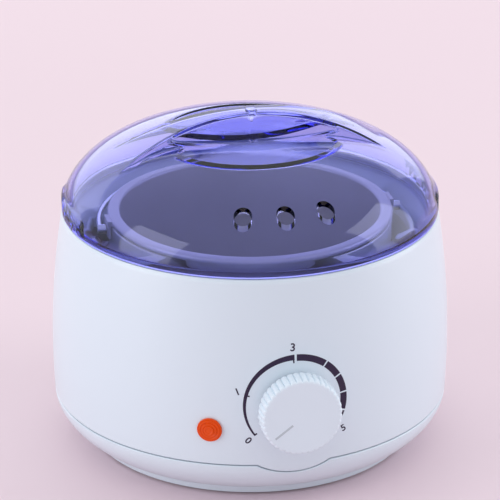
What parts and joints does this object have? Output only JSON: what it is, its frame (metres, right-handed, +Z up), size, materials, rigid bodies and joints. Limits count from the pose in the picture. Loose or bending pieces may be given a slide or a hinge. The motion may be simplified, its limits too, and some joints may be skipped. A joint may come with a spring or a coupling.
{
  "type": "wax warmer pot",
  "caption": "Round electric wax warmer with a clear tinted dome lid, a lift-out pot with a bail handle, a front dial knob and an indicator light.",
  "frame": {"origin": "middle of the round base, on the table", "axes": "+Z up, -Y out of the front with the dial, +X to the right seen from behind the dial looking at +Y"},
  "size_m": [0.17, 0.1912, 0.1452],
  "materials": {
    "white_shell": "smooth satin gloss",
    "knob_white": "smooth satin gloss",
    "rubber": "matt",
    "steel": "plain zinc plated",
    "well_aluminium": "satin",
    "pot_aluminium": "matt anodised",
    "wire_steel": "bright drawn wire",
    "clear_lid": "clear tinted violet blue",
    "mica": "mica band in sheet metal",
    "glass_fibre": "felted",
    "ceramic": "ceramic",
    "fuse_metal": "bright",
    "amber": "clear orange lens",
    "nylon": "moulded",
    "lamp_glass": "clear",
    "brass": "plain",
    "lead_sleeve": "silicone sleeve"
  },
  "bodies": {
    "warmer": {"housing": "white_shell", "deck_ring": "white_shell", "deck_screws": "steel", "base_cover": "white_shell", "foot_ring": "rubber", "base_screws": "steel", "heating_well": "well_aluminium", "band_heater": "mica", "heater_clamps": "steel", "clamp_bolts": "steel", "insulation_wrap": "glass_fibre", "heat_shield": "steel", "shield_screws": "steel", "well_spacers": "ceramic", "well_bolts": "steel", "thermal_fuse": "fuse_metal", "fuse_clip": "steel", "thermostat": "ceramic", "thermostat_nut": "steel", "indicator_lens": "amber", "lens_nut": "nylon", "neon_lamp": "lamp_glass", "terminal_block": "nylon", "terminal_screws": "brass", "cord_gland": "nylon", "gland_nut": "nylon", "cord_clamp": "nylon", "cord_clamp_screws": "steel", "inner_leads": "lead_sleeve"},
    "pot": {"wax_pot": "pot_aluminium", "pot_ears": "pot_aluminium"},
    "bail": {"bail_handle": "wire_steel"},
    "lid": {"lid": "clear_lid"},
    "dial": {"knob": "knob_white", "thermostat_shaft": "steel", "knob_spring": "steel"}
  },
  "joints": [
    {"name": "pot_lift", "type": "slide", "parent": "warmer", "child": "pot", "axis": [0, 0, 1], "range_m": [0, 0.09]},
    {"name": "lid_lift", "type": "slide", "parent": "pot", "child": "lid", "axis": [0, 0, 1], "range_m": [0, 0.09]},
    {"name": "bail_swing", "type": "hinge", "parent": "pot", "child": "bail", "pos_m": [0, 0, 0.096], "axis": [1, 0, 0], "range_deg": [0, 180]},
    {"name": "knob_turn", "type": "hinge", "parent": "warmer", "child": "dial", "pos_m": [0, -0.09, 0.048], "axis": [0, 1, 0], "range_deg": [0, 252]}
  ],
  "couplings": [
    {"joint": "bail_swing", "follows": "lid_lift", "rad_per_m": 34.906}
  ]
}
